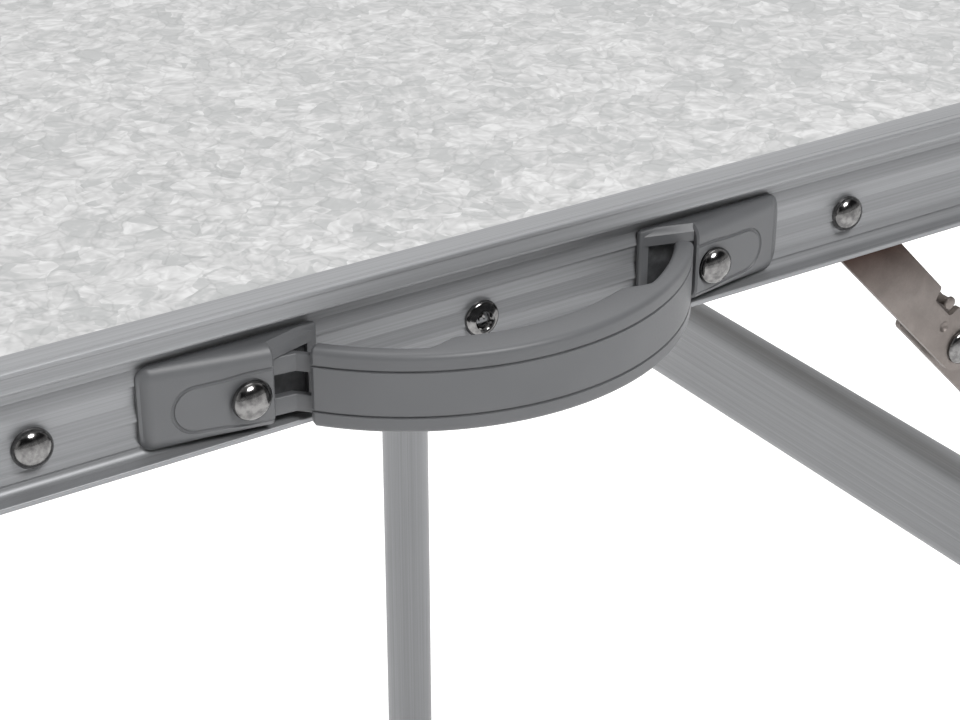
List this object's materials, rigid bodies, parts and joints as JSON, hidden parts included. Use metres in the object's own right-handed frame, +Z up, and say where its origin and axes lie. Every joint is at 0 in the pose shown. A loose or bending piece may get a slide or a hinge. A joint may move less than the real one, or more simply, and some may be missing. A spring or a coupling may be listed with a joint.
{
  "type": "folding table",
  "caption": "Rectangular folding table: light board in an aluminium rim, round legs that fold flat underneath, knee braces and a bow carrying handle on one edge.",
  "frame": {"origin": "on the floor, under the middle of the bounding box", "axes": "+X along the handle edge, towards the wider leg frame; +Y from the handle edge to the far edge; +Z up"},
  "size_m": [0.6, 0.4792, 0.504],
  "materials": {
    "laminate": "pale grey speckled laminate on a thin board, satin",
    "aluminium": "anodised, satin, drawn or extruded",
    "grey_plastic": "grey, moulded, satin",
    "zinc_steel": "pressed steel with a dull dark plating",
    "rivet_steel": "bright plated steel, polished domes",
    "foot_plastic": "dark, moulded"
  },
  "bodies": {
    "table_top": {"top_panel": "laminate", "frame_front": "aluminium", "frame_back": "aluminium", "frame_left": "aluminium", "frame_right": "aluminium", "centre_stiffener": "aluminium", "stiffener_rivet_front": "rivet_steel", "stiffener_rivet_back": "rivet_steel", "handle_socket_left": "grey_plastic", "handle_socket_right": "grey_plastic", "handle_rivet_left": "rivet_steel", "handle_rivet_right": "rivet_steel", "corner_block_right_front": "grey_plastic", "hinge_bracket_right_front": "zinc_steel", "leg_pivot_right_front": "rivet_steel", "brace_pivot_right_front": "rivet_steel", "corner_block_right_back": "grey_plastic", "hinge_bracket_right_back": "zinc_steel", "leg_pivot_right_back": "rivet_steel", "brace_pivot_right_back": "rivet_steel", "corner_block_left_front": "grey_plastic", "hinge_bracket_left_front": "zinc_steel", "leg_pivot_left_front": "rivet_steel", "brace_pivot_left_front": "rivet_steel", "corner_block_left_back": "grey_plastic", "hinge_bracket_left_back": "zinc_steel", "leg_pivot_left_back": "rivet_steel", "brace_pivot_left_back": "rivet_steel"},
    "leg_frame_right": {"crossbar_right": "aluminium", "leg_upper_right_front": "aluminium", "leg_lower_right_front": "aluminium", "foot_right_front": "foot_plastic", "leg_upper_right_back": "aluminium", "leg_lower_right_back": "aluminium", "foot_right_back": "foot_plastic"},
    "leg_frame_left": {"crossbar_left": "aluminium", "leg_upper_left_front": "aluminium", "leg_lower_left_front": "aluminium", "foot_left_front": "foot_plastic", "leg_upper_left_back": "aluminium", "leg_lower_left_back": "aluminium", "foot_left_back": "foot_plastic"},
    "brace_upper_right_front": {"brace_upper_right_front": "zinc_steel", "knee_rivet_right_front": "rivet_steel"},
    "brace_lower_right_front": {"brace_lower_right_front": "zinc_steel", "brace_stud_right_front": "rivet_steel"},
    "brace_upper_right_back": {"brace_upper_right_back": "zinc_steel", "knee_rivet_right_back": "rivet_steel"},
    "brace_lower_right_back": {"brace_lower_right_back": "zinc_steel", "brace_stud_right_back": "rivet_steel"},
    "brace_upper_left_front": {"brace_upper_left_front": "zinc_steel", "knee_rivet_left_front": "rivet_steel"},
    "brace_lower_left_front": {"brace_lower_left_front": "zinc_steel", "brace_stud_left_front": "rivet_steel"},
    "brace_upper_left_back": {"brace_upper_left_back": "zinc_steel", "knee_rivet_left_back": "rivet_steel"},
    "brace_lower_left_back": {"brace_lower_left_back": "zinc_steel", "brace_stud_left_back": "rivet_steel"},
    "handle": {"handle_grip": "grey_plastic"}
  },
  "joints": [
    {"name": "leg_right_fold", "type": "hinge", "parent": "table_top", "child": "leg_frame_right", "pos_m": [0.226, 0.01465, 0.483], "axis": [0, 1, 0], "range_deg": [0, 87]},
    {"name": "leg_left_fold", "type": "hinge", "parent": "table_top", "child": "leg_frame_left", "pos_m": [-0.226, 0.01465, 0.483], "axis": [0, -1, 0], "range_deg": [0, 90]},
    {"name": "brace_right_front_top", "type": "hinge", "parent": "table_top", "child": "brace_upper_right_front", "pos_m": [0.112, -0.19665, 0.483], "axis": [0, 1, 0], "range_deg": [-45.57, 0]},
    {"name": "brace_right_front_knee", "type": "hinge", "parent": "brace_upper_right_front", "child": "brace_lower_right_front", "pos_m": [0.16801, -0.19405, 0.4256], "axis": [0, 1, 0], "range_deg": [0, 176.26]},
    {"name": "brace_right_back_top", "type": "hinge", "parent": "table_top", "child": "brace_upper_right_back", "pos_m": [0.112, 0.22595, 0.483], "axis": [0, 1, 0], "range_deg": [-45.57, 0]},
    {"name": "brace_right_back_knee", "type": "hinge", "parent": "brace_upper_right_back", "child": "brace_lower_right_back", "pos_m": [0.16801, 0.22335, 0.4256], "axis": [0, 1, 0], "range_deg": [0, 176.26]},
    {"name": "brace_left_front_top", "type": "hinge", "parent": "table_top", "child": "brace_upper_left_front", "pos_m": [-0.112, -0.16325, 0.483], "axis": [0, -1, 0], "range_deg": [-46.2, 0]},
    {"name": "brace_left_front_knee", "type": "hinge", "parent": "brace_upper_left_front", "child": "brace_lower_left_front", "pos_m": [-0.16801, -0.16065, 0.4256], "axis": [0, -1, 0], "range_deg": [0, 180.5]},
    {"name": "brace_left_back_top", "type": "hinge", "parent": "table_top", "child": "brace_upper_left_back", "pos_m": [-0.112, 0.19255, 0.483], "axis": [0, -1, 0], "range_deg": [-46.2, 0]},
    {"name": "brace_left_back_knee", "type": "hinge", "parent": "brace_upper_left_back", "child": "brace_lower_left_back", "pos_m": [-0.16801, 0.18995, 0.4256], "axis": [0, -1, 0], "range_deg": [0, 180.5]},
    {"name": "handle_shift", "type": "slide", "parent": "table_top", "child": "handle", "axis": [1, 0, 0], "range_m": [-0.0045, 0]}
  ],
  "couplings": [
    {"joint": "brace_right_front_top", "follows": "leg_right_fold", "ratio": -0.51804},
    {"joint": "brace_right_front_knee", "follows": "leg_right_fold", "ratio": 2.0202},
    {"joint": "brace_right_back_top", "follows": "leg_right_fold", "ratio": -0.51804},
    {"joint": "brace_right_back_knee", "follows": "leg_right_fold", "ratio": 2.0202},
    {"joint": "brace_left_front_top", "follows": "leg_left_fold", "ratio": -0.50778},
    {"joint": "brace_left_front_knee", "follows": "leg_left_fold", "ratio": 2},
    {"joint": "brace_left_back_top", "follows": "leg_left_fold", "ratio": -0.50778},
    {"joint": "brace_left_back_knee", "follows": "leg_left_fold", "ratio": 2}
  ]
}
